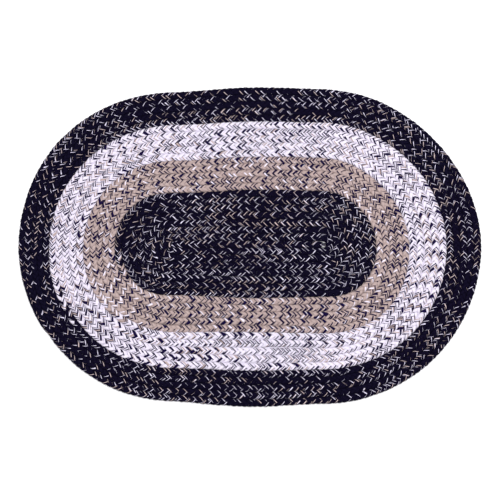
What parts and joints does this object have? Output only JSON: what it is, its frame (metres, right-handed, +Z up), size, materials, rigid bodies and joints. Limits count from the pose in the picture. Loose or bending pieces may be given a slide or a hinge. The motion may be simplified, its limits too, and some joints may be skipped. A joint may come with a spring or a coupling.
{
  "type": "braided rug",
  "caption": "Oval rug of one long three-strand braid wound flat and laced edge to edge, dark in the middle and at the border, with a tan and a white band between.",
  "frame": {"origin": "middle of the rug's outline, on its underside", "axes": "+X along the rug's length, +Y across it, +Z up out of its face"},
  "size_m": [0.7608, 0.525, 0.0075],
  "materials": {
    "centre_yarn": "matt",
    "tan_yarn": "matt",
    "white_yarn": "matt",
    "border_yarn": "matt"
  },
  "bodies": {
    "root": {"centre_braid": "centre_yarn", "tan_braid": "tan_yarn", "white_braid": "white_yarn", "border_braid": "border_yarn"}
  },
  "joints": []
}
